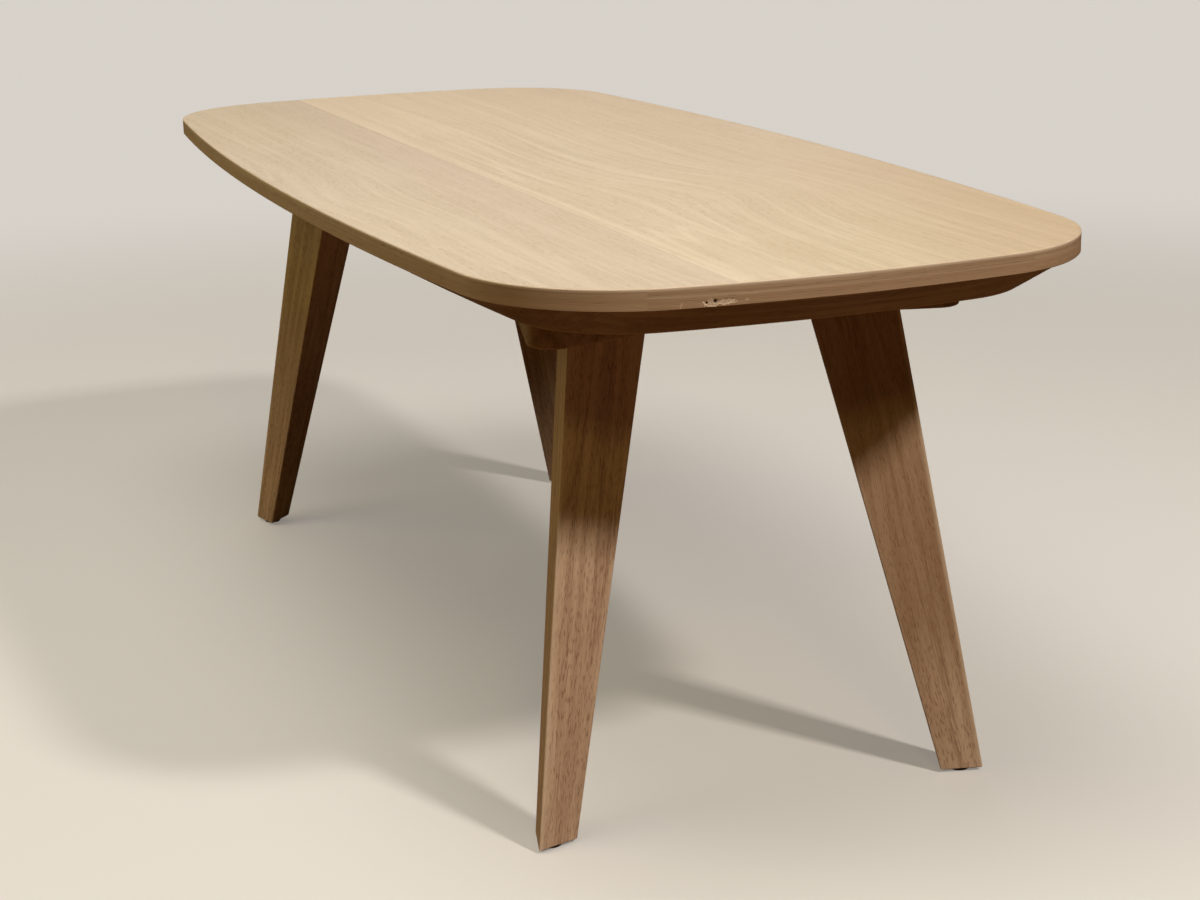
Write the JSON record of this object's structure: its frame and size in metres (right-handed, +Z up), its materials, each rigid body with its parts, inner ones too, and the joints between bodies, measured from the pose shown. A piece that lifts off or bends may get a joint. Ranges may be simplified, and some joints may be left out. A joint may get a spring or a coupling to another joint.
{
  "type": "low table",
  "caption": "Low oblong table with bowed edges, rounded corners and a bevelled underside, on splayed, tapered wooden legs of triangular section.",
  "frame": {"origin": "on the floor, under the middle of the top", "axes": "+X along the length of the top, +Y across it, +Z up"},
  "size_m": [0.94, 0.408, 0.35],
  "materials": {
    "top_veneer": "pale oak veneer, matt clear finish with a pale stain",
    "core_board": "raw core board, hidden",
    "lipping": "solid oak lipping, matt finish",
    "bevel_rail": "solid oak, matt finish",
    "backing_sheet": "plain backing veneer, matt finish",
    "leg": "solid oak with open pores, pale stain, matt finish",
    "leg_block": "solid oak, matt finish",
    "glide": "dark nylon",
    "zinc_steel": "zinc plated steel",
    "brass": "turned brass",
    "dowel": "raw beech dowel"
  },
  "bodies": {
    "root": {"top_veneer_narrow_leaf": "top_veneer", "top_veneer_wide_leaf": "top_veneer", "top_core_board": "core_board", "under_core_board": "core_board", "lipping_front": "lipping", "lipping_back": "lipping", "lipping_left_end": "lipping", "lipping_right_end": "lipping", "bevel_rail_front": "bevel_rail", "bevel_rail_back": "bevel_rail", "bevel_rail_left_end": "bevel_rail", "bevel_rail_right_end": "bevel_rail", "underside_backing": "backing_sheet", "leg_front_right": "leg", "leg_back_right": "leg", "leg_front_left": "leg", "leg_back_left": "leg", "leg_block_front_right": "leg_block", "leg_block_back_right": "leg_block", "leg_block_front_left": "leg_block", "leg_block_back_left": "leg_block", "foot_glide_front_right": "glide", "foot_glide_back_right": "glide", "foot_glide_front_left": "glide", "foot_glide_back_left": "glide", "leg_bolts": "zinc_steel", "leg_bolt_washers": "zinc_steel", "block_screws": "zinc_steel", "glide_nails": "zinc_steel", "leg_inserts": "brass", "leg_dowels": "dowel"}
  },
  "joints": []
}
